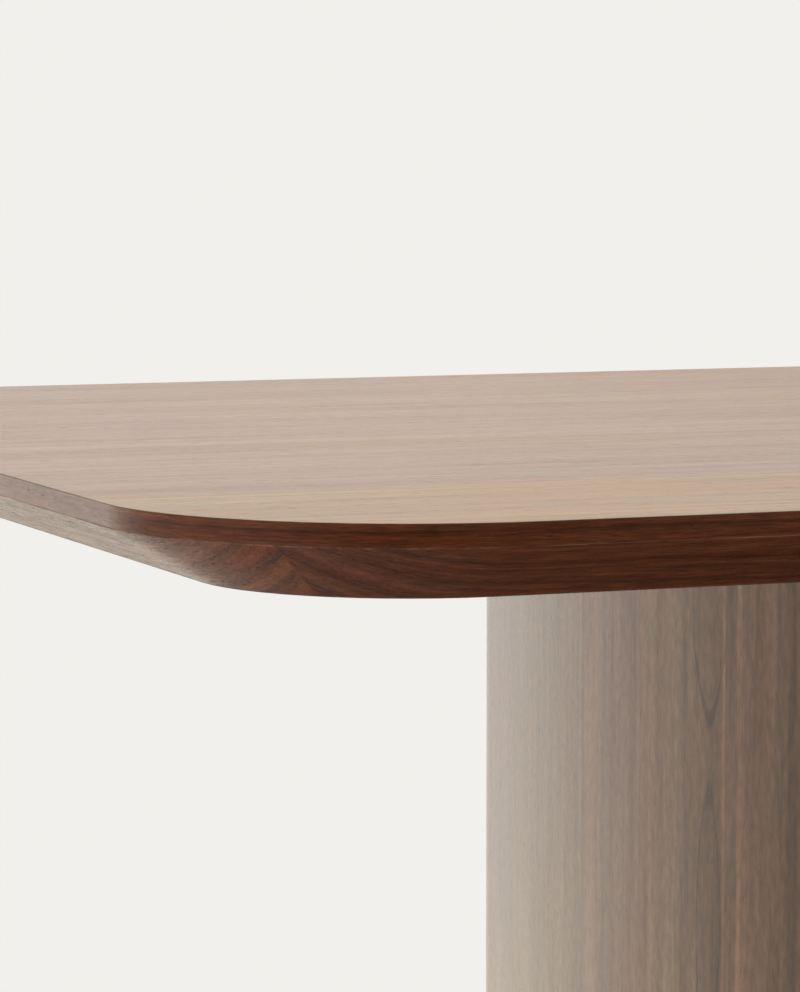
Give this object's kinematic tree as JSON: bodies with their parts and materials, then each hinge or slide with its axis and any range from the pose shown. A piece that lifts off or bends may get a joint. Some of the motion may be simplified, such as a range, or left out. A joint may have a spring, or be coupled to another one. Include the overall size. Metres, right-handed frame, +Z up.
{
  "type": "dining table",
  "caption": "Rectangular dining table with rounded corners and an under-bevelled walnut edge, standing on broad soft-cornered veneered pedestals with levelling feet.",
  "frame": {"origin": "on the floor under the middle of the top", "axes": "+X along the table's length, +Y across it towards the back, +Z up; the picture looks at the front-left corner"},
  "size_m": [2, 1, 0.75],
  "materials": {
    "walnut_top_veneer": "satin lacquered walnut leaves, grain along the table",
    "walnut_edge": "satin lacquered solid walnut",
    "walnut_leg_veneer": "satin lacquered walnut leaves, grain upright",
    "walnut_backing_veneer": "matt lacquered backing veneer",
    "fibreboard": "raw medium density fibreboard",
    "birch_plywood": "raw birch plywood",
    "beech": "planed beech",
    "black_steel": "black powder coat",
    "zinc_steel": "bright zinc plated",
    "nylon": "moulded dark nylon"
  },
  "bodies": {
    "table": {"top_face_veneer": "walnut_top_veneer", "top_upper_board": "fibreboard", "top_edge_band_front": "walnut_edge", "top_edge_band_back": "walnut_edge", "top_lipping_front": "walnut_edge", "top_lipping_back": "walnut_edge", "top_lipping_left": "walnut_edge", "top_lipping_right": "walnut_edge", "top_lower_board": "fibreboard", "top_board_tongues": "birch_plywood", "top_mitre_splines": "birch_plywood", "top_underside_veneer": "walnut_backing_veneer", "left_shell_outer": "birch_plywood", "left_shell_inner": "birch_plywood", "left_veneer": "walnut_leg_veneer", "left_seam_battens": "beech", "left_top_board": "birch_plywood", "left_lower_rib": "fibreboard", "left_upper_rib": "fibreboard", "left_base_board": "birch_plywood", "left_mounting_plate": "black_steel", "left_plate_screws": "zinc_steel", "left_plate_inserts": "zinc_steel", "left_tie_rods": "zinc_steel", "left_rod_washers": "zinc_steel", "left_rod_nuts": "zinc_steel", "left_foot_inserts": "zinc_steel", "right_shell_outer": "birch_plywood", "right_shell_inner": "birch_plywood", "right_veneer": "walnut_leg_veneer", "right_seam_battens": "beech", "right_top_board": "birch_plywood", "right_lower_rib": "fibreboard", "right_upper_rib": "fibreboard", "right_base_board": "birch_plywood", "right_mounting_plate": "black_steel", "right_plate_screws": "zinc_steel", "right_plate_inserts": "zinc_steel", "right_tie_rods": "zinc_steel", "right_rod_washers": "zinc_steel", "right_rod_nuts": "zinc_steel", "right_foot_inserts": "zinc_steel"},
    "left_foot_front_outer": {"left_foot_front_outer_pad": "nylon", "left_foot_front_outer_stem": "zinc_steel"},
    "left_foot_front_inner": {"left_foot_front_inner_pad": "nylon", "left_foot_front_inner_stem": "zinc_steel"},
    "left_foot_back_outer": {"left_foot_back_outer_pad": "nylon", "left_foot_back_outer_stem": "zinc_steel"},
    "left_foot_back_inner": {"left_foot_back_inner_pad": "nylon", "left_foot_back_inner_stem": "zinc_steel"},
    "right_foot_front_outer": {"right_foot_front_outer_pad": "nylon", "right_foot_front_outer_stem": "zinc_steel"},
    "right_foot_front_inner": {"right_foot_front_inner_pad": "nylon", "right_foot_front_inner_stem": "zinc_steel"},
    "right_foot_back_outer": {"right_foot_back_outer_pad": "nylon", "right_foot_back_outer_stem": "zinc_steel"},
    "right_foot_back_inner": {"right_foot_back_inner_pad": "nylon", "right_foot_back_inner_stem": "zinc_steel"}
  },
  "joints": [
    {"name": "left_foot_front_outer_level", "type": "slide", "parent": "table", "child": "left_foot_front_outer", "axis": [0, 0, -1], "range_m": [0, 0.01]},
    {"name": "left_foot_front_inner_level", "type": "slide", "parent": "table", "child": "left_foot_front_inner", "axis": [0, 0, -1], "range_m": [0, 0.01]},
    {"name": "left_foot_back_outer_level", "type": "slide", "parent": "table", "child": "left_foot_back_outer", "axis": [0, 0, -1], "range_m": [0, 0.01]},
    {"name": "left_foot_back_inner_level", "type": "slide", "parent": "table", "child": "left_foot_back_inner", "axis": [0, 0, -1], "range_m": [0, 0.01]},
    {"name": "right_foot_front_outer_level", "type": "slide", "parent": "table", "child": "right_foot_front_outer", "axis": [0, 0, -1], "range_m": [0, 0.01]},
    {"name": "right_foot_front_inner_level", "type": "slide", "parent": "table", "child": "right_foot_front_inner", "axis": [0, 0, -1], "range_m": [0, 0.01]},
    {"name": "right_foot_back_outer_level", "type": "slide", "parent": "table", "child": "right_foot_back_outer", "axis": [0, 0, -1], "range_m": [0, 0.01]},
    {"name": "right_foot_back_inner_level", "type": "slide", "parent": "table", "child": "right_foot_back_inner", "axis": [0, 0, -1], "range_m": [0, 0.01]}
  ]
}
